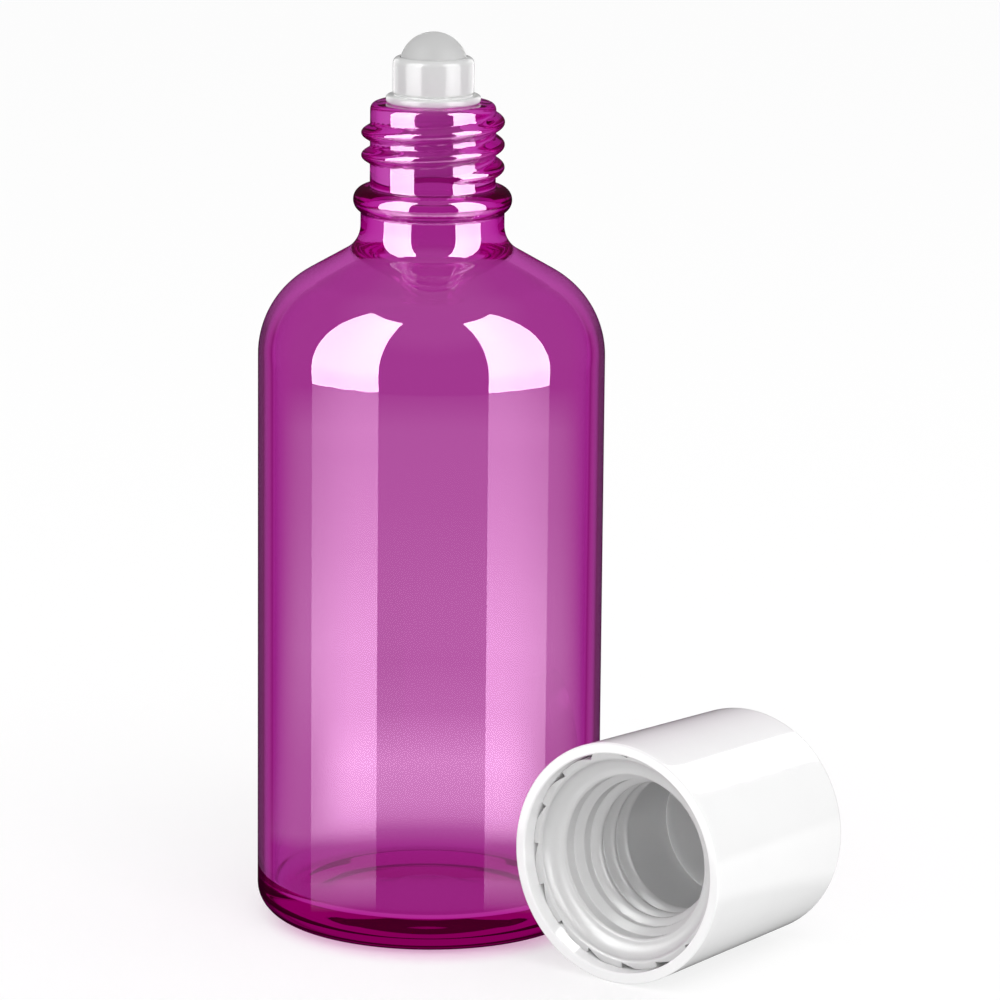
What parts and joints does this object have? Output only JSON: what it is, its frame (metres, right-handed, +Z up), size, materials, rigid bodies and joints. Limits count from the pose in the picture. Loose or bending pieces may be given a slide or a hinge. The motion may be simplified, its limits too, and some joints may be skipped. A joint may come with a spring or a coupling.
{
  "type": "roll-on bottle",
  "caption": "Round glass bottle with a moulded screw neck, a ball in a plug-in housing that rolls liquid on, and a two-piece screw cap lying beside it on its side.",
  "frame": {"origin": "centre of the ring that the bottle stands on, on the surface", "axes": "+Z up the bottle's middle line to the ball; +X towards the cap that lies beside the bottle; the cap's mouth faces about -Y"},
  "size_m": [0.0787, 0.046, 0.1193],
  "materials": {
    "glass": "clear coloured glass, glossy",
    "housing": "white moulded plastic, glossy",
    "ball": "pale grey, satin",
    "cap": "white moulded plastic, glossy",
    "insert": "white moulded plastic, satin"
  },
  "bodies": {
    "bottle": {"glass_bottle": "glass"},
    "fitment": {"ball_housing": "housing"},
    "ball": {"roller_ball": "ball"},
    "cap": {"cap_shell": "cap", "cap_insert": "insert"}
  },
  "joints": [
    {"name": "fitment_pull", "type": "slide", "parent": "bottle", "child": "fitment", "axis": [0, 0, 1], "range_m": [0, 0.012]},
    {"name": "ball_roll", "type": "hinge", "parent": "fitment", "child": "ball", "pos_m": [0, 0, 0.1148], "axis": [1, 0, 0], "continuous": true},
    {"name": "cap_lift", "type": "slide", "parent": "bottle", "child": "cap", "axis": [0, 0, 1], "range_m": [0, 0.12]}
  ]
}
